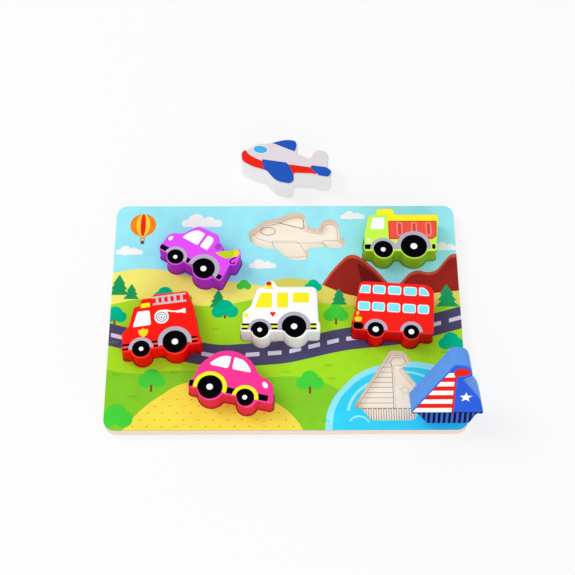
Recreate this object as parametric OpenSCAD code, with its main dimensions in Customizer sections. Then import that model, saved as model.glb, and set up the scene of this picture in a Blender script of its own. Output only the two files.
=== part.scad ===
// Chunky vehicle puzzle: a two-layer board with eight cut-outs, and the eight thick pieces that fill them.
// Millimetres. The origin is the centre of the board's underside, +X to the right, +Y to the back, +Z up.
// Six pieces sit in their recesses. The sailboat leans back on the board and the aeroplane lies behind it.

/* [Board] */
// Length of the board, left to right
board_l = 300; // [290:1:340]
// Width of the board, front to back
board_w = 215; // [208:1:250]
// Radius of the board's corners
board_corner_r = 10; // [4:0.5:16]
// Thickness of the backing sheet that closes the recesses
backing_t = 3; // [2:0.25:5]
// Thickness of the cut-out plate, which is the depth of the recesses
plate_t = 6; // [4:0.25:10]

/* [Pieces] */
// Thickness of every piece
piece_t = 24; // [14:0.5:30]
// Gap all round a piece in its recess
recess_gap = 0.7; // [0.3:0.05:1]
// Radius of the sanded edges of a piece
edge_r = 1.3; // [0.5:0.05:1.5]
// Band of body colour that is left round each wheel
wheel_rim = 1.2; // [0.6:0.1:2]
// Radius of the hollow where a wheel meets the sill
sill_fillet_r = 1.6; // [1.2:0.1:2]

/* [Tow truck] */
// Length of the tow truck
tow_truck_l = 65; // [58:0.5:68]
// Height of the tow truck, ground to roof
tow_truck_h = 45; // [41:0.5:48]
// Turn of the tow truck on the board, in degrees
tow_truck_turn = -31; // [-36:1:-20]

/* [Fire engine] */
// Length of the fire engine
fire_engine_l = 67; // [60:0.5:70]
// Height of the fire engine, ground to ladder
fire_engine_h = 58; // [52:0.5:60]
// Turn of the fire engine on the board, in degrees
fire_engine_turn = 7.5; // [0:0.5:10]

/* [Ambulance] */
// Length of the ambulance
ambulance_l = 67; // [60:0.5:74]
// Height of the ambulance, ground to beacon
ambulance_h = 55; // [50:0.5:60]
// Turn of the ambulance on the board, in degrees
ambulance_turn = 0; // [-5:0.5:5]

/* [Dump truck] */
// Length of the dump truck
dump_truck_l = 66.5; // [60:0.5:72]
// Height of the dump truck, ground to roof
dump_truck_h = 50; // [46:0.5:54]
// Turn of the dump truck on the board, in degrees
dump_truck_turn = 0; // [-5:0.5:5]

/* [Double decker bus] */
// Length of the bus
bus_l = 68; // [62:0.5:74]
// Height of the bus, ground to roof
bus_h = 53; // [48:0.5:58]
// Turn of the bus on the board, in degrees
bus_turn = -4; // [-8:0.5:4]

/* [Small car] */
// Length of the car
car_l = 72; // [66:0.5:78]
// Height of the car, ground to roof
car_h = 47.5; // [42:0.5:52]
// Turn of the car on the board, in degrees
car_turn = -12.5; // [-18:0.5:-4]

/* [Sailboat] */
// Length of the sailboat between its sails' tips
sailboat_l = 59; // [54:0.5:62]
// Height of the sailboat, keel to pennant
sailboat_h = 62; // [56:0.5:66]
// Lean of the standing sailboat, back from upright, in degrees
sailboat_lean = 24; // [0:1:24]
// Distance from the board's front edge to the line that the sailboat's keel rests on
sailboat_keel_gap = 23; // [22:0.5:32]
// Distance from the board's right edge to the hull of the standing sailboat
sailboat_side_gap = 1.2; // [0.5:0.1:4]

/* [Aeroplane] */
// Length of the aeroplane, nose to tail
aeroplane_l = 83.5; // [76:0.5:88]
// Height of the aeroplane, wing tip to canopy
aeroplane_h = 47; // [43:0.5:50]
// Distance from the board's back edge to the middle of the loose aeroplane
aeroplane_back_gap = 38; // [34:0.5:60]
// Turn of the loose aeroplane on the table, in degrees
aeroplane_loose_turn = -9; // [-20:0.5:20]

/* [Hidden] */

// Overrun of the cuts past the faces that they open
cut_overrun = 1;
// Degrees between the points of an outline's arcs
arc_step = 15;
// Points of an outline that are closer than this are one point
same_point = 0.01;
// A triangle of flat outline with less area than this, in square millimetres, counts as a straight line
least_area = 0.000001;
// Flats in each quarter round of a sanded edge
edge_steps = 3;
// Facets of a full circle on the board
$fn = 64;
// The middle of a length, as a share
middle_share = 0.5;
// Height of the board's printed face
board_t = backing_t + plate_t;

// Places of the recesses' centres: shares of the board's length and width, from its middle
tow_truck_place_shares = [-0.247, 0.237];
fire_engine_place_shares = [-0.352, -0.09];
ambulance_place_shares = [-0.014, -0.025];
dump_truck_place_shares = [0.337, 0.32];
bus_place_shares = [0.3035, -0.03];
car_place_shares = [-0.14, -0.317];
sailboat_place_shares = [0.287, -0.313];
aeroplane_place_shares = [0.0337, 0.354];
// Place of the loose aeroplane along the board's length, from its middle
aeroplane_loose_share = 0.005;

// Outlines run anticlockwise. Each row is one corner: share of the length from the left end, share of the
// height from the ground, and the corner's radius as a share of the length. A vehicle's first two corners
// are the ends of its sill. A wheel's row is its centre and its radius, as shares in the same way.
tow_truck_shares = [
    [0, 0.155, 0.04], [0.98, 0.155, 0.04],
    [0.948, 0.555, 0.025], [1.016, 0.595, 0.045], [1, 0.835, 0.06], [0.947, 0.945, 0.03],
    [0.736, 0.732, 0.016], [0.736, 0.864, 0.05], [0.654, 0.862, 0.016],
    [0.595, 1, 0.08], [0.277, 0.978, 0.09], [0.158, 0.68, 0.06], [0, 0.555, 0.11]];
tow_truck_wheel_shares = [[0.271, 0.182, 0.108], [0.695, 0.244, 0.151]];

fire_engine_shares = [
    [0, 0.128, 0.04], [1, 0.128, 0.04],
    [0.995, 0.25, 0.025], [0.972, 0.285, 0.025], [0.955, 0.7, 0.4],
    [0.894, 1, 0.045], [0.46, 1, 0.03], [0.434, 0.955, 0.02],
    [0.288, 0.948, 0.045], [0.285, 0.847, 0.018], [0.199, 0.833, 0.04],
    [0.116, 0.538, 0.12], [0.015, 0.416, 0.06], [0.02, 0.275, 0.03], [0, 0.235, 0.03]];
fire_engine_wheel_shares = [[0.243, 0.145, 0.106], [0.675, 0.191, 0.148]];

ambulance_shares = [
    [0, 0.125, 0.04], [1, 0.125, 0.04],
    [0.995, 0.255, 0.025], [0.975, 0.305, 0.025],
    [0.96, 0.896, 0.075], [0.458, 0.895, 0.045], [0.419, 1, 0.038], [0.318, 1, 0.038],
    [0.291, 0.889, 0.018], [0.207, 0.882, 0.06], [0.118, 0.555, 0.075], [0.02, 0.445, 0.052],
    [0.025, 0.285, 0.03], [0, 0.24, 0.03]];
ambulance_wheel_shares = [[0.258, 0.153, 0.1075], [0.691, 0.2075, 0.149]];

dump_truck_shares = [
    [0, 0.15, 0.04], [0.947, 0.15, 0.04],
    [0.953, 0.34, 0.15], [1, 0.88, 0.033], [0.421, 0.882, 0.022], [0.412, 1, 0.06], [0.18, 1, 0.045],
    [0.171, 0.88, 0.018], [0.074, 0.868, 0.06], [0.008, 0.46, 0.18], [0.012, 0.305, 0.03], [0, 0.265, 0.03]];
dump_truck_wheel_shares = [[0.256, 0.182, 0.12], [0.651, 0.242, 0.1655]];

bus_shares = [
    [0, 0.119, 0.04], [1, 0.119, 0.04],
    [0.996, 1, 0.13], [0.064, 0.998, 0.075], [0.026, 0.492, 0.06], [0.004, 0.406, 0.06]];
bus_wheel_shares = [[0.292, 0.147, 0.097], [0.723, 0.147, 0.097]];

car_shares = [
    [0, 0.165, 0.035], [1, 0.165, 0.042],
    [0.949, 0.538, 0.13], [0.767, 0.647, 0.085], [0.579, 1.01, 0.39], [0.25, 0.982, 0.33],
    [0.058, 0.605, 0.33], [0.035, 0.33, 0.018], [0, 0.3, 0.025]];
car_wheel_shares = [[0.261, 0.236, 0.139], [0.6875, 0.179, 0.102]];

sailboat_shares = [
    [0.236, 0, 0.034], [0.819, 0, 0.05],
    [0.91, 0.169, 0.02], [1.005, 0.167, 0.025], [0.936, 0.427, 0.37], [0.671, 0.76, 0.02],
    [0.802, 0.827, 0.042], [0.742, 0.985, 0.12], [0.541, 1.005, 0.042],
    [-0.01, 0.172, 0.025], [0.1, 0.171, 0.017]];

aeroplane_shares = [
    [0.42, 0.016, 0.168], [0.633, -0.012, 0.066], [0.601, 0.251, 0.018], [0.794, 0.291, 0.1],
    [0.866, 0.264, 0.1], [0.983, 0.26, 0.048], [1.003, 0.42, 0.048], [0.945, 0.488, 0.016],
    [0.932, 0.856, 0.09], [0.788, 0.862, 0.072], [0.745, 0.632, 0.03], [0.596, 0.7, 0.03],
    [0.583, 1.005, 0.072], [0.453, 1.008, 0.24], [0.271, 0.86, 0.12], [0.151, 0.821, 0.096],
    [0.055, 0.655, 0.072], [-0.008, 0.613, 0.06], [0.012, 0.37, 0.096], [0.148, 0.272, 0.22],
    [0.3, 0.226, 0.036]];

// An entry of a closed list, counted on past either end
function item(list, i) = list[(i + len(list)) % len(list)];

// Direction from one point to the next, in degrees
function heading(a, b) = atan2(b[1] - a[1], b[0] - a[0]);

// An angle brought to within half a turn of zero
function wrapped(a) = a - 360 * round(a / 360);

// A unit vector
function unit(a) = [cos(a), sin(a)];

// Corners of a piece in its own plane, about its middle: x, y and radius
function corners(shares, l, h) =
    [for (s = shares) [(s[0] - middle_share) * l, (s[1] - middle_share) * h, s[2] * l]];

// Turn of an outline at a corner: positive on an outer corner, negative on an inner one
function turn_at(c, i) = wrapped(heading(item(c, i), item(c, i + 1)) - heading(item(c, i - 1), item(c, i)));

// Length of side that a corner's radius asks for
function reach(c, i) = item(c, i)[2] * tan(abs(turn_at(c, i)) / 2);

// Share of its reach that the side after a corner can give
function side_room_share(c, i) =
    let (a = item(c, i), b = item(c, i + 1))
    min(1, norm([b[0] - a[0], b[1] - a[1]]) / (reach(c, i) + reach(c, i + 1)));

// Radius of a corner, limited by its two sides
function fitted_r(c, i) = item(c, i)[2] * min(side_room_share(c, i - 1), side_room_share(c, i));

// Arc of a corner: centre, radius, start angle and sweep, which is negative on an inner corner
function corner_arc(c, i) =
    let (a = heading(item(c, i - 1), item(c, i)),
         t = turn_at(c, i),
         r = fitted_r(c, i),
         p = [item(c, i)[0], item(c, i)[1]],
         side = sign(t))
    [p - r * tan(abs(t) / 2) * unit(a) + r * unit(a + side * 90), r, a - side * 90, t];

// Arcs of one wheel below a sill: a hollow, the wheel's own round and another hollow
function wheel_arcs(wheel, sill_y) =
    let (r = wheel[2] + wheel_rim,
         f = sill_fillet_r,
         rise = wheel[1] - sill_y + f,
         run = sqrt(pow(r + f, 2) - pow(rise, 2)),
         a = atan2(rise, run),
         hollow_y = sill_y - f)
    [[[wheel[0] - run, hollow_y], f, 90, a - 90],
     [[wheel[0], wheel[1]], r, a + 180, 180 - 2 * a],
     [[wheel[0] + run, hollow_y], f, 180 - a, a - 90]];

// All arcs of a piece, with the wheels along its sill
function piece_arcs(c, wheels) = concat(
    [corner_arc(c, 0)],
    [for (w = wheels) each wheel_arcs(w, c[0][1])],
    [for (i = [1 : len(c) - 1]) corner_arc(c, i)]);

// A point on an arc, moved outwards by grow, at a share of its sweep
function arc_point(a, sweep_share, grow) =
    a[0] + max(0, a[1] + sign(a[3]) * grow) * unit(a[2] + a[3] * sweep_share);

// Whether an arc starts where the one before it ends
function joined(arcs, i) = norm(arc_point(arcs[i], 0, 0) - arc_point(item(arcs, i - 1), 1, 0)) < same_point;

// Points of a closed outline, moved outwards by grow
function outline(arcs, grow) =
    [for (i = [0 : len(arcs) - 1])
        let (steps = max(1, ceil(abs(arcs[i][3]) / arc_step)),
             first = joined(arcs, i) ? 1 : 0)
        for (k = [first : steps]) arc_point(arcs[i], k / steps, grow)];

// Twice the area of a triangle, positive where its corners run anticlockwise
function turn_area(a, b, c) = (b[0] - a[0]) * (c[1] - a[1]) - (b[1] - a[1]) * (c[0] - a[0]);

// Whether a point lies inside a triangle
function in_triangle(p, a, b, c) =
    min(turn_area(a, b, p), turn_area(b, c, p), turn_area(c, a, p)) > least_area;

// Whether the triangle at a corner of a closed outline lies wholly inside it
function is_ear(points, ring, i) =
    let (a = points[item(ring, i - 1)], b = points[item(ring, i)], c = points[item(ring, i + 1)])
    turn_area(a, b, c) > least_area && len([for (k = ring) if (in_triangle(points[k], a, b, c)) k]) == 0;

// The next such corner, looked for once round the outline
function next_ear(points, ring, i, end) =
    i == end || is_ear(points, ring, i) ? i : next_ear(points, ring, i + 1, end);

// Triangles that fill a flat outline: one corner after another is cut off, so hollows stay open
function flat_triangles(points, ring, start = 0) =
    len(ring) == 3 ? [ring] :
    let (i = next_ear(points, ring, start, start + len(ring)) % len(ring))
    concat(
        [[item(ring, i - 1), ring[i], item(ring, i + 1)]],
        flat_triangles(points, [for (k = [0 : len(ring) - 1]) if (k != i) ring[k]], i + 1));

// Heights and insets of the rings of a piece, from its back face to its printed face
function edge_rings() =
    let (angles = [for (k = [0 : edge_steps]) 90 * k / edge_steps],
         last = edge_steps)
    concat(
        [for (a = angles) [edge_r * (1 - cos(a)), edge_r * (1 - sin(a))]],
        [for (k = [0 : last])
            let (a = angles[last - k])
            [piece_t - edge_r * (1 - cos(a)), edge_r * (1 - sin(a))]]);

function tow_truck_arcs() = piece_arcs(
    corners(tow_truck_shares, tow_truck_l, tow_truck_h),
    corners(tow_truck_wheel_shares, tow_truck_l, tow_truck_h));
function fire_engine_arcs() = piece_arcs(
    corners(fire_engine_shares, fire_engine_l, fire_engine_h),
    corners(fire_engine_wheel_shares, fire_engine_l, fire_engine_h));
function ambulance_arcs() = piece_arcs(
    corners(ambulance_shares, ambulance_l, ambulance_h),
    corners(ambulance_wheel_shares, ambulance_l, ambulance_h));
function dump_truck_arcs() = piece_arcs(
    corners(dump_truck_shares, dump_truck_l, dump_truck_h),
    corners(dump_truck_wheel_shares, dump_truck_l, dump_truck_h));
function bus_arcs() = piece_arcs(corners(bus_shares, bus_l, bus_h), corners(bus_wheel_shares, bus_l, bus_h));
function car_arcs() = piece_arcs(corners(car_shares, car_l, car_h), corners(car_wheel_shares, car_l, car_h));
function sailboat_arcs() = piece_arcs(corners(sailboat_shares, sailboat_l, sailboat_h), []);
function aeroplane_arcs() = piece_arcs(corners(aeroplane_shares, aeroplane_l, aeroplane_h), []);

// Puts a shape at a place on the board, turned, on a given height
module placed(place_shares, turn, z) {
    translate([place_shares[0] * board_l, place_shares[1] * board_w, z])
        rotate(turn)
            children();
}

// A block with the given outline, its edges sanded round on both faces
module sanded_block(arcs) {
    rings = [for (e = edge_rings()) [for (p = outline(arcs, -e[1])) [p[0], p[1], e[0]]]];
    n = len(rings[0]);
    last = len(rings) - 1;
    flat = flat_triangles(rings[0], [for (i = [0 : n - 1]) i]);
    polyhedron(
        points = [for (ring = rings) each ring],
        faces = concat(
            flat,
            [for (k = [0 : last - 1]) for (i = [0 : n - 1])
                let (j = (i + 1) % n)
                [k * n + i, (k + 1) * n + i, (k + 1) * n + j, k * n + j]],
            [for (t = flat) [last * n + t[2], last * n + t[1], last * n + t[0]]]));
}

// The hole that a piece drops into, right through the plate
module recess_cut(arcs, place_shares, turn) {
    placed(place_shares, turn, backing_t - cut_overrun)
        linear_extrude(plate_t + 2 * cut_overrun)
            polygon(outline(arcs, recess_gap));
}

// The board's rounded rectangle
module board_outline() {
    square([board_l - 2 * board_corner_r, board_w], center = true);
    square([board_l, board_w - 2 * board_corner_r], center = true);
    for (x = [-1, 1], y = [-1, 1])
        translate([x * (board_l / 2 - board_corner_r), y * (board_w / 2 - board_corner_r)])
            circle(board_corner_r);
}

// Plain plywood sheet under the plate, the floor of every recess
module backing_board() {
    color("wheat")
        linear_extrude(backing_t)
            board_outline();
}

// Plywood plate with the printed scene, cut out for the eight pieces
module scene_board() {
    color("skyblue")
        difference() {
            translate([0, 0, backing_t])
                linear_extrude(plate_t)
                    board_outline();
            recess_cut(tow_truck_arcs(), tow_truck_place_shares, tow_truck_turn);
            recess_cut(fire_engine_arcs(), fire_engine_place_shares, fire_engine_turn);
            recess_cut(ambulance_arcs(), ambulance_place_shares, ambulance_turn);
            recess_cut(dump_truck_arcs(), dump_truck_place_shares, dump_truck_turn);
            recess_cut(bus_arcs(), bus_place_shares, bus_turn);
            recess_cut(car_arcs(), car_place_shares, car_turn);
            recess_cut(sailboat_arcs(), sailboat_place_shares, 0);
            recess_cut(aeroplane_arcs(), aeroplane_place_shares, 0);
        }
}

module tow_truck() {
    color("orchid")
        placed(tow_truck_place_shares, tow_truck_turn, backing_t)
            sanded_block(tow_truck_arcs());
}

module fire_engine() {
    color("red")
        placed(fire_engine_place_shares, fire_engine_turn, backing_t)
            sanded_block(fire_engine_arcs());
}

module ambulance() {
    color("white")
        placed(ambulance_place_shares, ambulance_turn, backing_t)
            sanded_block(ambulance_arcs());
}

module dump_truck() {
    color("greenyellow")
        placed(dump_truck_place_shares, dump_truck_turn, backing_t)
            sanded_block(dump_truck_arcs());
}

module double_decker_bus() {
    color("firebrick")
        placed(bus_place_shares, bus_turn, backing_t)
            sanded_block(bus_arcs());
}

module small_car() {
    color("hotpink")
        placed(car_place_shares, car_turn, backing_t)
            sanded_block(car_arcs());
}

// Leans back on the sanded edge of its keel at the board's front right corner, with its printed face to the front
module sailboat() {
    keel_end = (sailboat_shares[1][0] - middle_share) * sailboat_l;
    color("royalblue")
        translate([board_l / 2 - sailboat_side_gap - keel_end,
                   sailboat_keel_gap - board_w / 2,
                   board_t + edge_r])
            rotate([90 - sailboat_lean, 0, 0])
                translate([0, sailboat_h * middle_share - edge_r, -edge_r])
                    sanded_block(sailboat_arcs());
}

// Lies on the table behind the board, with its printed face up
module aeroplane() {
    color("gainsboro")
        translate([aeroplane_loose_share * board_l, board_w / 2 + aeroplane_back_gap, 0])
            rotate(aeroplane_loose_turn)
                sanded_block(aeroplane_arcs());
}

backing_board();
scene_board();
tow_truck();
fire_engine();
ambulance();
dump_truck();
double_decker_bus();
small_car();
sailboat();
aeroplane();
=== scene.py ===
# %% [markdown]
# # A chunky vehicle puzzle
# The toy is a plywood board in two layers, with thick wooden vehicles that lift out of it. This lesson loads
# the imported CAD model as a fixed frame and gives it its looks: painted wood, printed inks, bare plywood and
# burnt lines. Every object stays at the origin with its place in its mesh, because the CAD keeps its own there.

# %% Frame
import math

import bmesh
import bpy
from mathutils import Matrix, Vector


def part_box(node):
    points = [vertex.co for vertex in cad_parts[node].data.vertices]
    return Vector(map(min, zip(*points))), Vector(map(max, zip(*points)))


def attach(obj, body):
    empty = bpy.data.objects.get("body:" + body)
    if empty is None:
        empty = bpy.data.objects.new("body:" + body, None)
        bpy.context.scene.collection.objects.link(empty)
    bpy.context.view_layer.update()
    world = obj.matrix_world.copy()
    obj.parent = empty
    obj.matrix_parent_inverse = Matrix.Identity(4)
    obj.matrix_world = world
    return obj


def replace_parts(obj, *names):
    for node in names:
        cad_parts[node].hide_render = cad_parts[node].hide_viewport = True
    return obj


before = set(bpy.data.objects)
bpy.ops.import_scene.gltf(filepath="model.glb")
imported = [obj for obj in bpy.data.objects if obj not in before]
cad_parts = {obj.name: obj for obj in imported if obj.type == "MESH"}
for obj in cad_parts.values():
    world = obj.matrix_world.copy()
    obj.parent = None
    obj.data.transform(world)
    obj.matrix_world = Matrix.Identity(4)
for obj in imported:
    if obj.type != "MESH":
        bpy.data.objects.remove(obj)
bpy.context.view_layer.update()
MM = 0.001

# %% [markdown]
# ## Camera
# The board's corners and the round wheels in the picture give the camera: a long lens that looks down on the
# table at about 62 degrees. It could be turned by hand until it fits, but a target, a distance and three angles
# are easier to read, and they keep the lens free of any shift.

# %% Camera
PICTURE_PX = 575
FOCAL_PX = 1320.36


def add_camera(target, distance, pitch, yaw, roll):
    """Aims a camera at a target in mm, with its angles in degrees."""
    pitch, yaw, roll = (math.radians(a) for a in (pitch, yaw, roll))
    tilt = Matrix.Rotation(math.pi / 2 - pitch, 3, "X")
    turn = Matrix.Rotation(yaw, 3, "Z") @ tilt @ Matrix.Rotation(roll, 3, "Z")
    camera = bpy.data.objects.new("camera", bpy.data.cameras.new("camera"))
    camera.data.lens = camera.data.sensor_width * (FOCAL_PX / PICTURE_PX)
    camera.location = Vector(target) * MM + turn @ Vector((0, 0, distance * MM))
    camera.rotation_euler = turn.to_euler()
    bpy.context.scene.collection.objects.link(camera)
    bpy.context.scene.camera = camera
    return camera


camera = add_camera(target=(1.737, 30.262, -1), distance=1153.55, pitch=61.898, yaw=-0.445, roll=0.257)
print("camera at", [round(v, 3) for v in camera.location], "lens", round(camera.data.lens, 1), "mm")

# %% [markdown]
# ## Shader sums
# A finish is easier to read as a sum than as a web of nodes. This small class wraps one output of a shader node:
# plus, minus, times and divide add Math nodes, and one method makes any other node with its settings and links.

# %% Shader sums
def plug(socket, value):
    """Links an output to a socket, or sets the socket's own value."""
    if isinstance(value, Sock):
        value.tree.links.new(value.out, socket)
    else:
        socket.default_value = value


class Sock:
    """One output of a shader node, which takes part in Python sums."""

    def __init__(self, tree, out):
        self.tree, self.out = tree, out

    def node(self, kind, settings=None, links=None, out=0):
        """Adds a node of this kind. Its settings are set first, then the values or links of its sockets."""
        made = self.tree.nodes.new("ShaderNode" + kind)
        for key, value in (settings or {}).items():
            setattr(made, key, value)
        for key, value in (links or {}).items():
            plug(made.inputs[key], value)
        return Sock(self.tree, made.outputs[out])

    def sum(self, operation, first, second):
        return self.node("Math", {"operation": operation}, {0: first, 1: second})

    def __add__(self, other):
        return self.sum("ADD", self, other)

    def __radd__(self, other):
        return self.sum("ADD", other, self)

    def __sub__(self, other):
        return self.sum("SUBTRACT", self, other)

    def __rsub__(self, other):
        return self.sum("SUBTRACT", other, self)

    def __mul__(self, other):
        return self.sum("MULTIPLY", self, other)

    def __rmul__(self, other):
        return self.sum("MULTIPLY", other, self)

    def __truediv__(self, other):
        return self.sum("DIVIDE", self, other)


def rgb(code, shade=1.0):
    """A colour from its web code, made linear, with its light scaled."""
    parts = [int(code[i:i + 2], 16) / 255 for i in (1, 3, 5)]
    linear = [p / 12.92 if p < 0.04045 else ((p + 0.055) / 1.055) ** 2.4 for p in parts]
    return tuple(min(1.0, p * shade) for p in linear) + (1.0,)


def new_finish(name, **values):
    """A material, its Principled shader and the Object coordinates. The values go on to the shader's sockets."""
    material = bpy.data.materials.new(name)
    material.use_nodes = True
    tree = material.node_tree
    shader = tree.nodes["Principled BSDF"]
    for key, value in values.items():
        shader.inputs[key.replace("_", " ")].default_value = value
    place = Sock(tree, tree.nodes.new("ShaderNodeTexCoord").outputs["Object"])
    return material, shader, place


def mixed(share, low, high):
    """A colour between two others."""
    return share.node("Mix", {"data_type": "RGBA"}, {0: share, 6: low, 7: high}, 2)


def noise(place, scale, stretch=(1, 1, 1), detail=3.0):
    """Smooth noise from 0 to 1, with a scale in features to the metre. Stretch packs them along each axis."""
    at = place.node("Mapping", None, {"Vector": place, "Scale": stretch})
    return place.node("TexNoise", None, {"Vector": at, "Scale": scale, "Detail": detail})


def ramped(value, low, high):
    """0 below low, 1 above high and even between them."""
    return value.node("MapRange", None, {"Value": value, "From Min": low, "From Max": high})


def axis(place, index):
    """One coordinate of a place: 0 for X, 1 for Y and 2 for Z."""
    return place.node("SeparateXYZ", None, {"Vector": place}, index)


def bumped(height, depth):
    """A normal from a height of 0 to 1 that stands for a depth in mm."""
    return height.node("Bump", None, {"Height": height, "Strength": 1.0, "Distance": depth * MM})


print("shader sums ready")

# %% [markdown]
# ## Floor and light
# The toy lies on a white table in soft light from the back left. A white world gives most of the light, one large
# lamp gives the shadows their side, and a weak one in front lifts the sides that face the camera. Together they
# light a flat face to about 1, so that a colour comes out as it is written. The table is a plain grid. Seen by the
# camera it is a little brighter, not by more light.

# %% Floor and light
def seen_directly(tree):
    """1 for rays from the camera, a mirror or glass, and 0 for the rays that carry light."""
    rays = tree.nodes.new("ShaderNodeLightPath").outputs
    kinds = ("Is Camera Ray", "Is Glossy Ray", "Is Transmission Ray")
    camera_ray, glossy, through = (Sock(tree, rays[kind]) for kind in kinds)
    return camera_ray.sum("MAXIMUM", camera_ray, glossy.sum("MAXIMUM", glossy, through))


WORLD_LIGHT = 0.72
WINDOW_WATTS = 24.0
FILL_WATTS = 16.0
LAMP_AIM = Vector((0, 0.02, 0))
TABLE_HALF = 3.0
TABLE_WHITE = (0.93, 0.93, 0.935, 1)
TABLE_GLOW = 0.65
PURE_WHITE = (1, 1, 1, 1)

world = bpy.data.worlds.new("studio")
bpy.context.scene.world = world
world.use_nodes = True
sky = world.node_tree.nodes["Background"]
sky.inputs["Color"].default_value = PURE_WHITE
seen = seen_directly(world.node_tree)
plug(sky.inputs["Strength"], WORLD_LIGHT + (1 - WORLD_LIGHT) * seen)


def add_lamp(name, watts, size, place):
    """A square lamp that looks at the middle of the toy."""
    lamp = bpy.data.objects.new(name, bpy.data.lights.new(name, "AREA"))
    lamp.data.energy, lamp.data.size, lamp.location = watts, size, place
    lamp.rotation_euler = (LAMP_AIM - lamp.location).to_track_quat("-Z", "Y").to_euler()
    bpy.context.scene.collection.objects.link(lamp)


add_lamp("window_lamp", WINDOW_WATTS, size=1.2, place=(-1.8, 1.0, 2.3))
add_lamp("fill_lamp", FILL_WATTS, size=1.6, place=(0.4, -2.2, 1.2))

bm = bmesh.new()
bmesh.ops.create_grid(bm, x_segments=2, y_segments=2, size=TABLE_HALF)
floor = bpy.data.objects.new("floor", bpy.data.meshes.new("floor"))
bm.to_mesh(floor.data)
bm.free()
bpy.context.scene.collection.objects.link(floor)
table_white, table_shader, table_place = new_finish("table_white", Roughness=0.9, Specular_IOR_Level=0.0)
table_shader.inputs["Base Color"].default_value = TABLE_WHITE
glow = table_place.node("Emission", None, {"Color": PURE_WHITE, "Strength": 1.0})
blend = table_place.node("MixShader", None, {0: TABLE_GLOW * seen_directly(table_white.node_tree), 2: glow})
table_white.node_tree.links.new(table_shader.outputs[0], blend.out.node.inputs[1])
table_white.node_tree.links.new(blend.out, table_white.node_tree.nodes["Material Output"].inputs["Surface"])
floor.data.materials.append(table_white)
bpy.context.scene.view_settings.view_transform = "Standard"
print("floor, two lamps and world")

# %% [markdown]
# ## Places
# A vehicle's own frame, with the middle of its back at zero and its face up, is set in its recess by a place and a
# turn, as in the CAD. The aeroplane lies on the table. The sailboat leans back on the sanded edge of its keel.

# %% Places
PIECE_T = 24
RECESS_FLOOR = 3
BOARD_T = 9
EDGE_R = 1.3
SAILBOAT_H = 62
SAILBOAT_LEAN = 24
KEEL_X, KEEL_Y = 129.979, -84.5
AEROPLANE_PLACE = (1.5, 145.5, -9)


def seat(x, y, turn, z):
    """A place in mm with a turn in degrees about the upright."""
    return Matrix.Translation((x * MM, y * MM, z * MM)) @ Matrix.Rotation(math.radians(turn), 4, "Z")


RECESSES = {
    "tow_truck": (-74.1, 50.955, -31), "fire_engine": (-105.6, -19.35, 7.5), "ambulance": (-4.2, -5.375, 0),
    "dump_truck": (101.1, 68.8, 0), "double_decker_bus": (91.05, -6.45, -4), "small_car": (-42, -68.155, -12.5),
    "sailboat": (86.1, -67.295, 0), "aeroplane": (10.11, 76.11, 0),
}
seats = {name: seat(*place, RECESS_FLOOR) for name, place in RECESSES.items()}
seats["aeroplane"] = seat(*AEROPLANE_PLACE, 0)
seats["sailboat"] = (seat(KEEL_X, KEEL_Y, 0, BOARD_T + EDGE_R)
                     @ Matrix.Rotation(math.radians(90 - SAILBOAT_LEAN), 4, "X")
                     @ seat(0, SAILBOAT_H / 2 - EDGE_R, 0, -EDGE_R))
print(len(seats), "vehicles placed")

# %% [markdown]
# ## Painted wood
# Each vehicle is a block of wood, sprayed all over and then printed on its face. The face is flat and even. On
# the sides the grain shows through the paint as fine streaks that run with the block's thickness. The side
# colours are part paint and part painted shade, and the sanded rim is a little lighter, a painted highlight.
# One material does this with the height of a point in the vehicle's own frame, which a mapping node finds:
# above a wavering level it is face, below it is side.

# %% Painted wood
# The share of white mixed into the rim colour is a painted highlight on the sanded rim.
RIM_HIGHLIGHT = 0.03
WAVER = 0.4
FACE_DEPTH = 0.3
FACE_SKIN = 0.06


def painted_wood(name, face, side_paint_and_shade, frame_at):
    """Paint for a block, from the colours of its face and sides and the place of its own frame.
    The colour of the sides holds painted shade as well as paint, and the rim a painted highlight.
    """
    material, shader, place = new_finish(name, Specular_IOR_Level=0.05)
    own = place.node("Mapping", {"vector_type": "TEXTURE"}, {
        "Vector": place, "Location": frame_at.to_translation(), "Rotation": tuple(frame_at.to_euler())})
    up = axis(own, 2)
    mottle = noise(own, scale=90)
    grain = noise(own, scale=700, stretch=(1, 1, 0.12))
    waver = up + (mottle - 0.5) * (WAVER * MM)
    edge_foot = PIECE_T - EDGE_R
    on_edge = ramped(waver, (edge_foot - 0.3) * MM, (edge_foot + 0.2) * MM)
    on_face = ramped(up, (PIECE_T - FACE_DEPTH) * MM, (PIECE_T - FACE_SKIN) * MM)
    # The colour of the sides is part paint and part painted shade; grain and mottle vary it.
    flank_paint_and_shade = mixed(grain * 0.5 + mottle * 0.35, rgb(side_paint_and_shade, 0.86), rgb(side_paint_and_shade, 1.12))
    # The rim takes the face colour with a little white added, a painted highlight.
    rim = tuple(c + (1 - c) * RIM_HIGHLIGHT for c in rgb(face))
    flat = mixed(mottle, rgb(face, 0.95), rgb(face, 1.03))
    plug(shader.inputs["Base Color"], mixed(on_face, mixed(on_edge, flank_paint_and_shade, rim), flat))
    plug(shader.inputs["Roughness"], 0.44 - on_face * 0.08 + (grain - 0.5) * 0.16)
    plug(shader.inputs["Normal"], bumped(grain * (1 - on_face * 0.85), depth=0.12))
    return material


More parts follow.
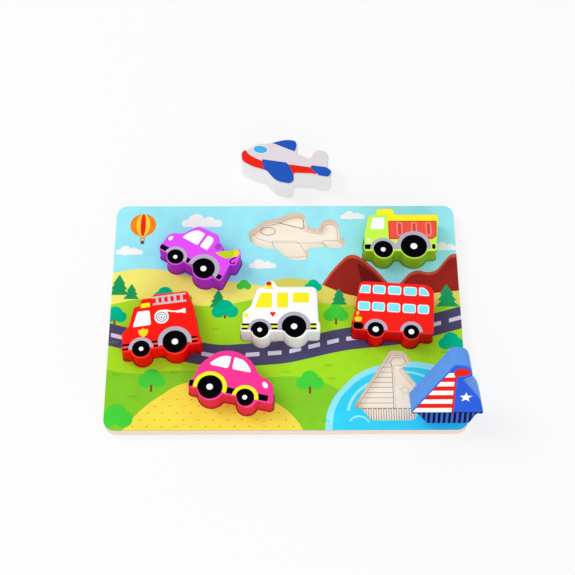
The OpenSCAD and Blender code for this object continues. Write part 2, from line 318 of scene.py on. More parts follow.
# Face and side colours for each vehicle. The side colours are part paint and part painted shade: most are darker
# than the face, as the sides turn from the light.
PAINTS = {
    "tow_truck": ("#E850FF", "#AA26CE"),
    "fire_engine": ("#FF1A10", "#F00406"),
    "ambulance": ("#FFFFFF", "#FAF4F6"),
    "dump_truck": ("#C8FF50", "#8CC020"),
    "double_decker_bus": ("#FF221C", "#D60408"),
    "small_car": ("#FF3898", "#E02A48"),
    "sailboat": ("#2C60E0", "#62A0FA"),
    "aeroplane": ("#E4DCE0", "#FFFEFF"),
}
paints = {n: painted_wood(n + "_paint", *colours, seats[n]) for n, colours in PAINTS.items()}
print("paints:", ", ".join(paints))

# %% [markdown]
# ## Painted blocks
# The CAD already has the sanded outlines, so each block is a copy of its node. The node's mesh is loose flat
# triangles. A copy can be merged, which lets its sides shade as smooth curves, while the face stays flat.

# %% Painted blocks
WELD = 0.001
LEVEL = 1e-4
FLAT_AREA = 6e-6
HARD_ANGLE = 40


def merged_copy(node):
    """A bmesh of a CAD node with its doubled points merged and its stored normals dropped."""
    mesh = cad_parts[node].data.copy()
    mesh.attributes.remove(mesh.attributes["custom_normal"])
    bm = bmesh.new()
    bm.from_mesh(mesh)
    bpy.data.meshes.remove(mesh)
    bmesh.ops.remove_doubles(bm, verts=bm.verts, dist=WELD * MM)
    return bm


def add_piece(name, bm, materials, body):
    """Makes a bmesh a piece of the toy that moves with a body."""
    mesh = bpy.data.meshes.new(name)
    bm.to_mesh(mesh)
    bm.free()
    for material in materials:
        mesh.materials.append(material)
    piece = bpy.data.objects.new(name, mesh)
    bpy.context.scene.collection.objects.link(piece)
    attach(piece, body)
    return piece


def soften(bm, place):
    """Smooth shading on curved faces. Hard edges stay hard, and the large flats of the piece's own frame flat."""
    own = place.to_3x3().inverted()
    for face in bm.faces:
        square = any(abs(abs(c) - 1) < LEVEL for c in own @ face.normal)
        face.smooth = not (square and face.calc_area() > FLAT_AREA)
    for edge in bm.edges:
        edge.smooth = edge.calc_face_angle(0) < math.radians(HARD_ANGLE)


for name, paint in paints.items():
    bm = merged_copy(name)
    soften(bm, seats[name])
    count = len(bm.faces)
    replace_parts(add_piece(name + "_block", bm, [paint], name), name)
    print(name, "block:", count, "faces")

# %% [markdown]
# ## Plywood
# The board is two sheets of birch plywood: a thick one with the cut-outs and a thin one behind it. Their edges
# show the plies as pale and brown bands, and a laser has toasted the walls of the cut-outs. The bare face has
# long fine grain. Bands that follow the height and noise that is drawn out along the grain make both.

# %% Plywood
PLY_T = 1.5


def plywood_edge(name, pale, brown, base):
    """The cut edge of plywood: bands of one ply, counted from a base height in mm."""
    material, shader, place = new_finish(name, Specular_IOR_Level=0.3)
    waver = noise(place, scale=60, stretch=(1, 1, 3))
    fibre = noise(place, scale=900, stretch=(1, 1, 0.25))
    height = (axis(place, 2) / MM - base) / PLY_T + (waver - 0.5) * 0.25
    band = height.node("Math", {"operation": "PINGPONG"}, {0: height, 1: 1.0})
    share = ramped(band, 0.35, 0.65) * 0.6 + fibre * 0.4
    plug(shader.inputs["Base Color"], mixed(share, rgb(brown), rgb(pale)))
    plug(shader.inputs["Roughness"], 0.62 + fibre * 0.2)
    plug(shader.inputs["Normal"], bumped(fibre, depth=0.1))
    return material


def bare_birch(name, pale, deep):
    """The sanded face of birch, with its grain along X."""
    material, shader, place = new_finish(name, Specular_IOR_Level=0.3)
    bands = noise(place, scale=28, stretch=(0.25, 3, 1), detail=4)
    fleck = noise(place, scale=420, stretch=(0.05, 2, 1), detail=2)
    share = bands * 0.65 + fleck * 0.35
    plug(shader.inputs["Base Color"], mixed(ramped(share, 0.32, 0.62), rgb(deep), rgb(pale)))
    plug(shader.inputs["Roughness"], 0.58 + fleck * 0.16)
    plug(shader.inputs["Normal"], bumped(fleck, depth=0.05))
    return material


board_edge = plywood_edge("board_edge", "#F7E6DF", "#E8CCB7", 0)
toasted_wall = plywood_edge("toasted_wall", "#FBEADC", "#DEC6B4", RECESS_FLOOR)
birch_face = bare_birch("birch_face", "#FFF8EA", "#FBEBD2")
print("plywood edge, toasted wall and birch face")

# %% [markdown]
# ## Board sheets
# Each sheet is a copy of its node with materials by face: flat faces are birch, faces at the border are the
# outer edge, and the other upright faces are the walls of the cut-outs.

# %% Board sheets
BORDER_REACH = 3.5
FACING = 0.5


def board_sheet(node):
    """A sheet of the board, with its materials in the order birch, outer edge and cut-out wall."""
    bm = merged_copy(node)
    low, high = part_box(node)
    for face in bm.faces:
        middle = face.calc_center_median()
        at_border = min(high.x - abs(middle.x), high.y - abs(middle.y)) < BORDER_REACH * MM
        face.material_index = 0 if abs(face.normal.z) > FACING else 1 if at_border else 2
    soften(bm, Matrix())
    sheet = add_piece(node + "_sheet", bm, [birch_face, board_edge, toasted_wall], "board")
    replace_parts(sheet, node)
    print(node, "sheet from", round(low.z / MM, 1), "to", round(high.z / MM, 1), "mm")


board_sheet("backing_board")
board_sheet("scene_board")

# %% [markdown]
# ## Ink
# Everything printed is flat colour under a satin lacquer. It could be painted by a shader, but then its borders
# would blur when the model is baked. So each colour is a real film, a few hundredths of a millimetre thick.
# An outline from a few corners is rounded by a vertex bevel and raised to a low block, and each ink is raised a
# step higher than the one below it. One Boolean then cuts the whole stack with a block of the face that carries
# it, so that the inks hide each other as on a screen print and end where the face does.

# %% Ink
INK_T = 0.02
INK_STEP = 0.01
INK_ROOT = 1.0
FACE_REACH = 0.3
FACE_ROOM = 1.5
SLIVER = 0.0005
CORNER_STEPS = 6
SPOT_W, SPOT_SIDES, ROUND_SIDES = 3, 14, 40
ARCH_STEP, ARCH_STEPS_MIN = 7, 8
STAR_POINTS, STAR_WAIST = 5, 0.42


def ink(name, colour, drift=0.06):
    """A printed colour with the faint unevenness of a screen print."""
    material, shader, place = new_finish(name, Specular_IOR_Level=0.02)
    cloud = noise(place, scale=55)
    screen = noise(place, scale=1500, detail=1)
    share = ramped(cloud * 0.7 + screen * 0.3, 0.3, 0.7)
    plug(shader.inputs["Base Color"], mixed(share, rgb(colour, 1 - drift), rgb(colour, 1 + drift / 2)))
    plug(shader.inputs["Roughness"], 0.36 + screen * 0.14)
    return material


def plate(reach, *corners):
    """An outline with its corners in mm, each rounded over the same reach along its sides."""
    def draw(bm):
        dots = [bm.verts.new((x * MM, y * MM, 0)) for x, y in corners]
        bm.faces.new(dots).normal_update()
        if reach:
            bmesh.ops.bevel(bm, geom=dots, offset=reach * MM, offset_type="OFFSET", affect="VERTICES",
                            segments=CORNER_STEPS, profile=0.5, material=-1, clamp_overlap=True)
    return draw


def bar(x0, x1, y0, y1, reach=0.3):
    """An upright rectangle."""
    return plate(reach, (x0, y0), (x1, y0), (x1, y1), (x0, y1))


def disc(x, y, wide, high=None, tilt=0):
    """A round or oval spot."""
    def draw(bm):
        place = (Matrix.Translation((x * MM, y * MM, 0)) @ Matrix.Rotation(math.radians(tilt), 4, "Z")
                 @ Matrix.Diagonal((wide / 2 * MM, (high or wide) / 2 * MM, 1, 1)))
        sides = SPOT_SIDES if wide < SPOT_W else ROUND_SIDES
        bmesh.ops.create_circle(bm, cap_ends=True, segments=sides, radius=1, matrix=place)
    return draw


def arch(x, y, inner, outer, start=0, end=180):
    """A curved band about a centre, swept from one angle to another."""
    def draw(bm):
        a, sweep = math.radians(start), end - start
        ends = [bm.verts.new(((x + r * math.cos(a)) * MM, (y + r * math.sin(a)) * MM, 0)) for r in (inner, outer)]
        spoke = bm.edges.new(ends)
        bmesh.ops.spin(bm, geom=[spoke, *ends], cent=(x * MM, y * MM, 0), axis=(0, 0, 1), angle=math.radians(sweep),
                       steps=max(ARCH_STEPS_MIN, sweep // ARCH_STEP), use_merge=sweep == 360)
    return draw


def star(x, y, r):
    """A star: a ring with twice as many corners as points, where every second corner is drawn in."""
    def draw(bm):
        place = Matrix.Translation((x * MM, y * MM, 0))
        ring = bmesh.ops.create_circle(bm, cap_ends=True, segments=2 * STAR_POINTS, radius=r * MM, matrix=place)
        bmesh.ops.scale(bm, verts=ring["verts"][1::2], vec=(STAR_WAIST, STAR_WAIST, 1), space=place.inverted())
    return draw


def inset(width, draw, rim=False):
    """Another outline drawn in by a width in mm: its middle, or the rim that is left around the middle."""
    def draw_in(bm):
        before = set(bm.faces)
        draw(bm)
        new = [f for f in bm.faces if f not in before]
        ring = set(bmesh.ops.inset_region(bm, faces=new, thickness=width * MM, use_boundary=True,
                                          use_even_offset=not rim)["faces"])
        drop = [f for f in bm.faces if f not in before and (f in ring) != rim]
        bmesh.ops.delete(bm, geom=drop, context="FACES")
    return draw_in


def raised(bm, draw, low, high, index=0):
    """Adds a block with this outline between two heights in mm, in one material, and returns its corners."""
    old_faces, old_verts = set(bm.faces), set(bm.verts)
    draw(bm)
    outline = [f for f in bm.faces if f not in old_faces]
    bmesh.ops.translate(bm, verts=[v for v in bm.verts if v not in old_verts], vec=(0, 0, low * MM))
    top = bmesh.ops.extrude_face_region(bm, geom=outline)["geom"]
    lifted = [v for v in top if isinstance(v, bmesh.types.BMVert)]
    bmesh.ops.translate(bm, verts=lifted, vec=(0, 0, (high - low) * MM))
    block = [f for f in bm.faces if f not in old_faces]
    bmesh.ops.recalc_face_normals(bm, faces=block)
    for face in block:
        face.material_index = index
    return [v for v in bm.verts if v not in old_verts]


def laid_flat(source, place, wanted):
    """The outline of the wanted faces of another bmesh, laid flat in the piece's own frame."""
    source.transform(place.inverted())
    source.normal_update()
    faces = [[v.co.copy() for v in f.verts] for f in source.faces if wanted(f)]
    source.free()

    def draw(bm):
        dots = {}
        for corners in faces:
            for co in corners:
                if co.freeze() not in dots:
                    dots[co] = bm.verts.new((co.x, co.y, 0))
            bm.faces.new([dots[co] for co in corners]).normal_update()
    return draw


def face_of(node, place, top):
    """The outline of a node's upper face."""
    return laid_flat(merged_copy(node), place, lambda f: f.calc_center_median().z > (top - FACE_REACH) * MM)


def face_block(node, place, top):
    """An upright block with the outline of a node's upper face, in the piece's own frame."""
    bm = bmesh.new()
    raised(bm, face_of(node, place, top), top - FACE_REACH, top + FACE_ROOM)
    return bm


def as_object(name, bm):
    """Turns a bmesh into an object of the scene."""
    made = bpy.data.objects.new(name, bpy.data.meshes.new(name))
    bm.to_mesh(made.data)
    bm.free()
    bpy.context.scene.collection.objects.link(made)
    return made


def common_part(bm, other):
    """What two bmeshes share, where overlapping blocks of the first count as one body."""
    first, second = as_object("first", bm), as_object("second", other)
    clip = first.modifiers.new("clip", "BOOLEAN")
    clip.operation, clip.solver, clip.use_self, clip.object = "INTERSECT", "EXACT", True, second
    mesh = bpy.data.meshes.new_from_object(first.evaluated_get(bpy.context.evaluated_depsgraph_get()))
    shared = bmesh.new()
    shared.from_mesh(mesh)
    for scrap in (mesh, first.data, second.data):
        bpy.data.meshes.remove(scrap)
    return shared


def printed(name, layers, cutter, top, place, body, shift=Vector()):
    """Prints layers of (ink, outlines) on a face and cuts them with its block. Each layer is a step higher."""
    inks = list(dict.fromkeys(colour for colour, shapes in layers))
    stack = bmesh.new()
    for count, (colour, shapes) in enumerate(layers, 1):
        for draw in shapes:
            low, high = top - INK_ROOT - INK_STEP * count, top + INK_T + INK_STEP * count
            raised(stack, draw, low, high, inks.index(colour))
    bmesh.ops.translate(stack, verts=stack.verts, vec=shift)
    films = common_part(stack, cutter)
    bmesh.ops.dissolve_degenerate(films, edges=films.edges, dist=SLIVER * MM)
    for face in films.faces:
        face.smooth = False
        above = [f for edge in face.edges for f in edge.link_faces if f.normal.z > FACING]
        if abs(face.normal.z) < FACING and above:
            face.material_index = above[0].material_index
    films.transform(place)
    print(name, "-", len(inks), "inks,", len(films.faces), "faces")
    return add_piece(name, films, [INKS[c] for c in inks], body)


INKS = {name: ink(name + "_ink", colour) for name, colour in {
    "white": "#FFFFFF", "black": "#020104", "grey": "#BAB5C6", "yellow": "#FFF428", "red": "#F02818",
    "pale_red": "#F05850", "panel_red": "#F85446", "lime": "#BEDC1C", "gold": "#FFDC30", "violet": "#A048CC",
    "pink": "#F0988C", "slot_red": "#DC4840", "rust": "#B8502C", "ladder": "#CEC4CE", "canopy": "#2659BE",
    "glass": "#84F0FF", "pane": "#4CB2EE", "navy": "#0A1044", "blue": "#2659BE", "hull_blue": "#3C66BC",
    "coil": "#7E6C74"}.items()}
print(len(INKS), "inks for the vehicles")

# %% [markdown]
# ## Vehicle prints
# The prints are windows, wheels, bumpers and trim, drawn in each vehicle's own frame with its middle at zero.
# Later inks lie over earlier ones, as on a screen print: bumpers first, then wheel arches, tyres and hubs.

# %% Tow truck, fire engine and ambulance
PRINTS = {}
PRINTS["tow_truck"] = [
    ("black", [bar(-36, -20, -14.8, -10), bar(-10, 4, -14.8, -10), bar(20, 29.5, -14.8, -10, 0.7)]),
    ("grey", [arch(-15.3, -14.8, 6.8, 10.2), arch(11.6, -12.1, 9.5, 13.9, -10, 190)]),
    ("lime", [plate(0.9, (12, 6.3), (18, 11.5), (26.6, 18), (28.4, 18.2), (30.6, 16.6), (30.2, 12.4), (27.6, 10),
                    (22.3, 5.6), (15, 5.9))]),
    ("gold", [plate(0.5, (24.8, 16.6), (26.6, 18.2), (28.4, 18.4), (30.8, 16.8), (30.4, 12.4), (27.6, 10),
                    (26.8, 13.4))]),
    ("violet", [disc(11.2, 12.6, 5.4, 6.4, 15)]),
    ("black", [disc(-15.3, -14.8, 14.7), disc(11.6, -12.2, 20.1), arch(29.6, 6.1, 1.4, 2.4, 150, 395),
               plate(0.3, (27.2, 6.4), (28.2, 6.2), (29, 9.4), (30.6, 11.2), (29.8, 11.9), (28, 10))]),
    ("white", [plate(1.3, (-20.6, 4.6), (-5, 4.6), (-5.1, 17.7), (-12.6, 17.7), (-16.2, 14.4), (-18.9, 10)),
               plate(1.4, (-2.7, 4.6), (4.9, 4.6), (5, 14.6), (3.2, 17.7), (-2.5, 17.7)),
               disc(-28.6, -1.3, 3.4, 5, -8), disc(-15.2, -14.9, 3.7), disc(11.8, -12.2, 5.2)]),
]
BUMPER_SPANS = ((-36, -20), (-12, 4), (18, 30))
PRINTS["fire_engine"] = [
    ("pale_red", [bar(a, b, -17.8, -16) for a, b in BUMPER_SPANS]),
    ("black", [bar(a, b, y - 0.9, y + 0.9) for y in (-15, -18.8) for a, b in BUMPER_SPANS]),
    ("grey", [arch(-17.2, -19.8, 6.9, 10.4), arch(11.2, -17, 9.7, 14.1, -11, 191)]),
    ("ladder", [plate(0.4, (-4.4, 25.6), (24.7, 26), (24.7, 27.7), (-4.4, 27.3)), bar(-3.8, 24.5, 19.1, 20.9, 0.4)]
               + [bar(x - 1.1, x + 1.1, 19.6, 26.6) for x in (0.1, 5, 10.1, 15.2, 20.7)]),
    ("yellow", [plate(0.9, (-14.6, 17.8), (-6.3, 18), (-6.3, 22), (-13.4, 22))]),
    ("gold", [plate(0.5, (-18.3, -2.3), (-16, -2.6), (-14.1, -1.2), (-12.2, -2.6), (-10, -2.3), (-10.1, -5.6),
                    (-11.6, -8), (-14.1, -9.7), (-16.6, -8), (-18.1, -5.6))]),
    ("black", [disc(-17.2, -19.8, 14.9), disc(11.2, -17, 20.5)]),
    ("white", [plate(1.2, (-22.4, 0.7), (-7, 1.1), (-7.1, 14.7), (-17.4, 14.7)), disc(2.4, 7.4, 12.2, 12.8),
               plate(0.5, (4, 11.5), (8.6, 11.6), (10.2, 11), (15.6, 10), (15.6, 11.5), (10.6, 12.3), (8.4, 13.2),
                     (6, 13.8), (3, 13.8)),
               plate(0.3, (15, 9.6), (19.6, 9.4), (21, 8.4), (22.9, 8.3), (23, 13), (20.9, 13), (19.6, 12.1),
                     (15, 11.6)),
               disc(-17.1, -20, 3.8), disc(11.3, -17.1, 5.4)]),
    ("coil", [arch(2.4, 7.4, 3.9, 4.6, 0, 360), arch(2.4, 7.4, 2.1, 2.7, 0, 360), disc(2.3, 7.2, 1.2, 1.9)]),
]
PRINTS["ambulance"] = [
    ("yellow", [bar(a, b, -16.8, -14.6) for a, b in BUMPER_SPANS]
               + [plate(1.2, (-21.8, 2.1), (-7.2, 2.1), (-7.2, 16.2), (-16.7, 16.2)), bar(-3.1, 6.3, 2.1, 16.3, 1.2),
                  bar(10.3, 24.1, 6.8, 16.3, 1.4), plate(0.8, (-13.9, 19.9), (-6.2, 19.9), (-7.2, 24), (-12.8, 24)),
                  disc(-29.1, -5.2, 3.4, 4.6)]),
    ("black", [bar(a, b, y - 0.95, y + 0.95) for y in (-13.7, -17.6) for a, b in BUMPER_SPANS]),
    ("grey", [arch(-17.5, -18.5, 7, 10.2), arch(11.2, -15.7, 9.8, 14, -11, 191)]),
    ("red", [disc(-10.1, 25.1, 4.9, 4.2), disc(-7.7, -3.2, 2.6), disc(-5.5, -3.2, 2.6),
             plate(0.3, (-8.9, -3.6), (-6.6, -6.8), (-4.3, -3.6), (-6.6, -2.6))]),
    ("black", [disc(-17.6, -18.6, 15.1), disc(11.2, -15.6, 20.7)]),
    ("white", [disc(-17.6, -18.7, 3.8), disc(11.2, -15.6, 5.3)]),
]
print("outlines for", ", ".join(PRINTS))

# %% Dump truck, bus and small car
TIPPER = plate(1.2, (-11.5, 12.8), (31, 12.8), (30.1, -2.6), (26.7, -5.7), (-11.5, -5.7))
SLOTS_IN_BED = [bar(x - 2.5, x + 2.5, -2.5, 11.5, 2.2) for x in (-1.7, 11, 23.5)]
PRINTS["dump_truck"] = [
    ("yellow", [bar(-21.5, -5.5, 19.4, 27, 0.8), bar(-12.2, 36, 12.5, 19.7, 0.5), bar(-12.2, -10, -5.7, 13, 0.3),
                bar(29, 36, -5.6, 13, 0.3)]),
    ("rust", [TIPPER]),
    ("panel_red", [inset(0.95, TIPPER)]),
    ("pink", SLOTS_IN_BED),
    ("slot_red", [inset(1.1, slot) for slot in SLOTS_IN_BED]),
    ("black", [bar(-36, -22, -15.6, -10.9, 0.8), bar(25.7, 28.5, -15.4, -10.8, 0.8)]),
    ("grey", [arch(-16.5, -15.6, 7.8, 11.3), arch(10, -12.6, 10.8, 14.9, -13, 193), bar(-7, -3.4, -15.8, -10, 0.3)]),
    ("black", [disc(-16.7, -15.7, 16.8), disc(9.9, -12.7, 22.8)]),
    ("white", [plate(1.2, (-27.2, 4.5), (-14.8, 4.5), (-14.4, 16), (-24.9, 16)), disc(-29.1, -6.8, 3, 4),
               disc(-16.7, -15.9, 4.2), disc(9.9, -12.7, 5.9)]),
]
BUS_WINDOWS = [
    plate(1.0, (-30, 15.1), (-20.3, 15.1), (-20.3, 23.1), (-28, 23.1)),
    plate(1.2, (20.8, 15.7), (29.7, 15.7), (29.4, 18.4), (27.4, 21.6), (24.4, 23.8), (20.8, 23.8)),
] + [bar(a, b, 15.1, 23.6, 2) for a, b in ((-18.4, -7.5), (-5.4, 5.8), (7.8, 19))] + [
    bar(a, b, -1.5, 7.2, 2) for a, b in ((-30.3, -20), (-18.5, -7.6), (-5.6, 5.4), (7.3, 18.4), (20, 29.7))]
PRINTS["double_decker_bus"] = [
    ("grey", [arch(-14.5, -18.6, 6.4, 9.8), arch(15.2, -18.7, 6, 9.4)]),
    ("white", BUS_WINDOWS),
    ("glass", [inset(0.85, window) for window in BUS_WINDOWS]),
    ("gold", [disc(-30.2, -4.4, 2.4, 4.2, -12), bar(-32.6, -26.6, -12, -7.6, 1.6)]),
    ("black", [bar(-35, -25.2, -19.15, -13.05, 2.2), disc(-14.6, -18.6, 13.8), disc(15.2, -18.9, 13)]),
    ("white", [disc(-14.6, -18.5, 5.2), disc(15.2, -18.8, 4.8)]),
]
PRINTS["small_car"] = [
    ("black", [bar(-40, -24, -14.5, -9, 1.2), bar(-10, 6, -14.4, -9.2), bar(16, 30.6, -14.6, -9.4, 1.2)]),
    ("yellow", [arch(-18, -12, 9.9, 14, -12, 192), arch(12.1, -15, 7.2, 11)]),
    ("black", [disc(-18, -11.9, 20.9), disc(12, -14.8, 15.3)]),
    ("white", [plate(0.9, (-23.1, 9), (-22, 7.4), (-7.9, 7.4), (-7, 9.4), (-7.1, 18.4), (-12, 18), (-16, 16.3),
                     (-19.6, 13.1)),
               plate(0.9, (-4.1, 9), (-3.2, 7.4), (11.2, 7.6), (11.8, 8.8), (9.5, 12.2), (6, 15.6), (2.5, 17.7),
                     (-4.4, 18.4)),
               disc(25.8, -0.8, 4, 6, 40), disc(-18.2, -11.9, 5.4), disc(11.9, -14.9, 4.1)]),
]
print("outlines for", ", ".join(list(PRINTS)[3:]))

# %% Sailboat and aeroplane
SAIL_FOOT, BAND_H, STRIPE_W = -18.3, 4.68, 2.1
STRIPE_STARTS = [-26 + 2 * STRIPE_W * i for i in range(13)]
PRINTS["sailboat"] = [
    ("navy", [bar(-34, 34, -34, SAIL_FOOT, 0)]),
    ("hull_blue", [bar(x, x + STRIPE_W, -34, SAIL_FOOT - 0.5, 0) for x in STRIPE_STARTS]),
    ("white", [bar(-34, 4, SAIL_FOOT, SAIL_FOOT + 9 * BAND_H, 0), star(13.8, -2.2, 5.4)]),
    ("red", [bar(-34, 4, SAIL_FOOT + i * BAND_H, SAIL_FOOT + (i + 1) * BAND_H, 0) for i in (1, 3, 5, 7)]),
    ("red", [bar(3.4, 5, SAIL_FOOT, 22, 0),
             plate(1.2, (2, 23.4), (4.4, 28), (10, 28.2), (14, 26.6), (15.8, 24), (13.4, 21), (9.4, 20.2),
                   (3.4, 20.2))]),
]
WING = plate(0.6, (-22.2, -1.3), (-0.3, -1.4), (2.6, -4), (5.6, -9), (9.1, -15.5), (11.4, -19), (10.5, -23),
             (7, -26), (0, -26), (-6, -24), (-12.4, -19.8), (-18, -13), (-20.6, -7.6))
TAIL = plate(0.6, (21.8, -2.6), (23, -0.9), (36, -0.8), (38.4, -2.5), (43, -5.6), (42, -9), (39.5, -12), (33, -12),
             (27.8, -8.4), (24.8, -6.3))
CANOPY = plate(0.5, (-16.8, 17.7), (-10.2, 20.7), (-5.2, 22.9), (-1, 24.1), (2.2, 23.9), (5.1, 22.2), (6.5, 19.3),
               (6.7, 16), (5.9, 10.7), (0, 12.6), (-10, 15.3))
PORTHOLE = disc(-25.5, 8.8, 13.8, 8.8)
PRINTS["aeroplane"] = [
    ("red", [plate(0.8, (-46, 6), (-38.4, 6), (-36.2, 3.2), (-33, 1), (-29.6, -0.6), (-25, -2.2), (-21, -3.1),
                   (22.4, -3.1), (28, -8.6), (27, -14), (0, -18), (-20, -17), (-44, -9))]),
    ("white", [CANOPY, PORTHOLE]),
    ("blue", [WING, TAIL]),
    ("canopy", [inset(0.4, CANOPY)]),
    ("pane", [inset(0.5, PORTHOLE)]),
]
print("outlines for", ", ".join(list(PRINTS)[6:]))

# %% [markdown]
# ## Printing
# Each print rides on its vehicle. On the six that sit in the board it lies half a millimetre low, towards the
# board's front edge, so that tyres and bumpers run close to the sanded rim.

# %% Printing
PRINT_DROP = Vector((0, -0.55 * MM, 0))
LOOSE = ("sailboat", "aeroplane")
prints = {}
for name, layers in PRINTS.items():
    place = seats[name]
    shift = Vector() if name in LOOSE else place.to_3x3().inverted() @ PRINT_DROP
    cutter = face_block(name, place, PIECE_T)
    prints[name] = printed(name + "_print", layers, cutter, PIECE_T, place, name, shift)

# %% [markdown]
# ## Burnt lines
# The floor of each recess carries a drawing of its vehicle in thin burnt lines, so that a child can find the
# place. The finished print serves again: an inset leaves a line along the border of each ink that shows, and the
# lines are raised by a hair from the floor.

# %% Burnt lines
burnt, burnt_shader, burnt_place = new_finish("burnt_line", Specular_IOR_Level=0.2)
char = noise(burnt_place, 260)
plug(burnt_shader.inputs["Base Color"], mixed(char, rgb("#74584A"), rgb("#A08878")))
plug(burnt_shader.inputs["Roughness"], 0.7 + char * 0.2)

LINE_W = 0.3
LINE_T = 0.03
OUTLINE_T = 0.039
drawings = bmesh.new()
for name, place in RECESSES.items():
    films = bmesh.new()
    films.from_mesh(prints[name].data)
    borders = laid_flat(films, seats[name], lambda f: f.normal.z > FACING)
    outline = face_of(name, seats[name], PIECE_T)
    for draw, height in ((borders, LINE_T), (outline, OUTLINE_T)):
        corners = raised(drawings, inset(LINE_W, draw, rim=True), RECESS_FLOOR, RECESS_FLOOR + height)
        bmesh.ops.transform(drawings, matrix=seat(*place, 0), verts=corners)
line_faces = len(drawings.faces)
add_piece("recess_drawings", drawings, [burnt], "board")
print("recess drawings:", line_faces, "faces")

# %% [markdown]
# ## Landscape
# The board's face is printed with a countryside: sky, mountains, hills, a road and a bay, in flat bright inks.
# It is built from the back to the front in the same way as the vehicles, with the board's top as the skin.

# %% Landscape inks
INKS.update({name: ink(name + "_ink", colour, 0.1) for name, colour in {
    "sky": "#A0F0FF", "cloud": "#FFFFFF", "mountain": "#9C2822", "mountain_shade": "#741818",
    "mountain_rim": "#D2543C", "far_hill": "#E4DC66", "near_hill": "#FFF678", "meadow": "#A8E628",
    "deep_meadow": "#86D22C", "leaf": "#48D840", "teal_leaf": "#00C090", "dark_leaf": "#20A060",
    "slate": "#504C70", "dash": "#DCD8EC", "field": "#FFE850", "seed": "#D29A30", "shore": "#9AEEFF",
    "water": "#38D8FF", "ripple": "#A6F2FF", "trunk": "#8C5432", "balloon": "#FF8A1E",
    "balloon_band": "#FFD23C", "blade": "#5CAE1E"}.items()})


def conifer(x, y, h):
    """Three stacked skirts of a fir."""
    w = h * 0.46
    return [plate(h * 0.05, (x - w * k, y + h * a), (x + w * k, y + h * a), (x, y + h * b))
            for k, a, b in ((1, 0, 0.55), (0.82, 0.26, 0.8), (0.6, 0.52, 1))]


def crown(x, y, r):
    """The lumpy crown of a round tree or bush."""
    return [disc(x - r * 0.62, y - r * 0.15, r * 1.3), disc(x + r * 0.62, y - r * 0.15, r * 1.3),
            disc(x, y + r * 0.3, r * 1.6)]


def puff(x, y, w):
    """A flat-bottomed cloud."""
    return [bar(x - w / 2, x + w / 2, y, y + w * 0.2, w * 0.09), disc(x - w * 0.14, y + w * 0.17, w * 0.4),
            disc(x + w * 0.18, y + w * 0.14, w * 0.3)]


def tuft(x, y, s=1.0):
    """A few blades of grass."""
    return [plate(0, (x + a * s, y), (x + (a + 0.7) * s, y), (x + (a + b) * s, y + c * s))
            for a, b, c in ((-2.6, -0.6, 2.2), (-0.9, 0.2, 3), (0.8, 0.9, 2.6), (2.4, 1.4, 1.9))]


print(len(INKS), "inks in all")

# %% Landscape
ROAD = [(-172, -14), (-112, -30), (-56, -41), (0, -37), (48, -25), (100, -19), (172, 2)]
ROAD_W = 21
DASH_PITCH = 19
DASH_SHARE = 0.62
DASH_HALF = 1.9
TRUNKS = ((43, -4), (140, -32), (-146, -4), (-52, 2), (-112, -66), (20, -68))
SEED_ROWS = (-104, -98, -92, -86, -80)
TUFTS = ((-142, -58), (-94, -56), (0, -56), (38, -62), (134, -38), (-60, -16), (36, -50), (-146, -28), (50, 3),
         (-128, -78), (32, -100), (-62, -58))


def every(draw, *places):
    """The outlines of one motif at several places."""
    return [outline for place in places for outline in draw(*place)]


def road_dashes():
    """White dashes along the road's middle: short bars between points of its course."""
    dashes = []
    for (xa, ya), (xb, yb) in zip(ROAD, ROAD[1:]):
        steps = max(1, round((xb - xa) / DASH_PITCH))
        for i in range(steps):
            a, b = (i + 0.5 - DASH_SHARE / 2) / steps, (i + 0.5 + DASH_SHARE / 2) / steps
            (x0, y0), (x1, y1) = ((xa + (xb - xa) * t, ya + (yb - ya) * t) for t in (a, b))
            dashes.append(plate(0.4, (x0, y0 - DASH_HALF), (x1, y1 - DASH_HALF), (x1, y1 + DASH_HALF),
                                (x0, y0 + DASH_HALF)))
    return dashes


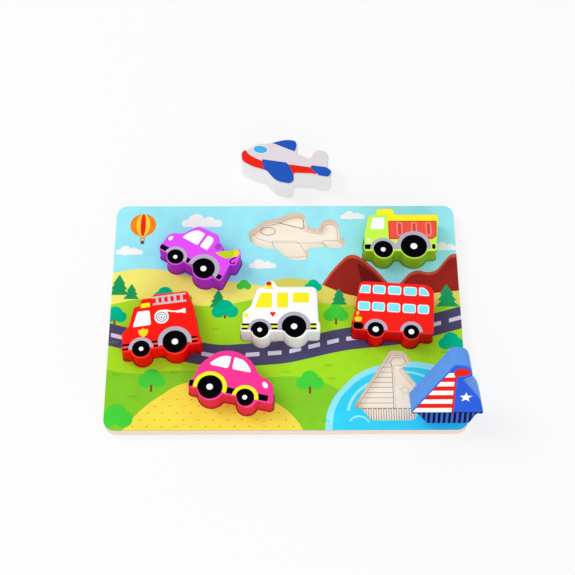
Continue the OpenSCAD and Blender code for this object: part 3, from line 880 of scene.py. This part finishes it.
LANDSCAPE = [
    ("sky", [bar(-170, 170, -130, 130, 0)]),
    ("cloud", every(puff, (-74, 86, 36), (-137, 58, 24), (60, 94, 22), (141, 62, 22), (-20, 44, 24))),
    ("balloon", [disc(-126, 88, 23), plate(0.8, (-130, 79.5), (-122, 79.5), (-124, 74), (-128, 74))]),
    ("balloon_band", [disc(-126, 88, 12, 23), bar(-128, -124, 75, 79, 0.3)]),
    ("red", [disc(-126, 88, 4.6, 23)]),
    ("trunk", [bar(-127.6, -124.4, 68.6, 72, 0.5), bar(-127.7, -127.2, 71, 75, 0), bar(-124.8, -124.3, 71, 75, 0)]),
    ("mountain_rim", [plate(9, (16, 4), (42, 44), (58, 61), (76, 46), (108, 4)),
                      plate(9, (78, 4), (112, 44), (128, 37), (148, 62), (176, 30), (176, 4))]),
    ("mountain", [plate(9, (18, 2), (43, 42), (58, 57.5), (75, 43.5), (106, 2)),
                  plate(9, (80, 2), (112, 41), (128, 34), (148, 58.5), (176, 26), (176, 2))]),
    ("mountain_shade", [plate(4, (62, 50), (75, 40), (104, 2), (70, 2), (66, 30)),
                        plate(4, (150, 52), (176, 24), (176, 2), (146, 2), (154, 30))]),
    ("far_hill", [plate(16, (-30, -30), (-24, 30), (14, 36), (60, 14), (110, 17), (172, 24), (172, -30))]),
    ("near_hill", [plate(18, (-176, -30), (-176, 34), (-120, 46), (-70, 33), (-20, 28), (34, 6), (60, -30))]),
    ("meadow", [plate(16, (-176, -130), (-176, 2), (-120, 16), (-64, 5), (-16, 16), (44, 8), (112, 4), (176, 12),
                      (176, -130))]),
    ("deep_meadow", [plate(16, (-176, -130), (-176, -46), (-128, -58), (-84, -52), (-36, -62), (14, -58), (50, -72),
                           (70, -130))]),
    ("slate", [plate(9, *[(x, y - ROAD_W / 2) for x, y in ROAD],
                     *[(x, y + ROAD_W / 2) for x, y in reversed(ROAD)])]),
    ("dash", road_dashes()),
    ("field", [plate(14, (-150, -130), (-120, -88), (-84, -62), (-30, -70), (6, -92), (26, -130))]),
    ("seed", [disc(x + 6 * (row % 2), y, 1.5, 1.1) for row, y in enumerate(SEED_ROWS)
              for x in range(-126, 20, 12)]),
    ("shore", [plate(14, (30, -130), (34, -84), (62, -53), (104, -44), (176, -62), (176, -130))]),
    ("water", [plate(13, (36, -130), (40, -84), (64, -58), (104, -49.5), (176, -68), (176, -130))]),
    ("ripple", [arch(84, -96, 32, 34.4, 96, 170), arch(96, -100, 44, 46, 60, 96), arch(126, -74, 10, 11.4, 30, 140),
                arch(60, -104, 8, 9.4, 20, 150)]),
    ("trunk", [bar(x - 1, x + 1, y - 7, y, 0.3) for x, y in TRUNKS]),
    ("dark_leaf", every(conifer, (-144, 18, 20), (-133, 14, 15), (139, 6, 22), (-58, 6, 17), (46, 8, 16))),
    ("teal_leaf", every(crown, (-146, -2, 8), (-52, 3, 9), (140, -28, 8.5), (24, 26, 6), (-104, 17, 8))),
    ("leaf", every(crown, (43, -1, 8.5), (-112, -62, 9), (20, -64, 9), (-88, 15, 6), (-140, -96, 11), (-36, 27, 5))),
    ("blade", every(tuft, *TUFTS)),
]
cutter = face_block("scene_board", Matrix(), BOARD_T)
printed("scene_board_print", LANDSCAPE, cutter, BOARD_T, Matrix(), "board")
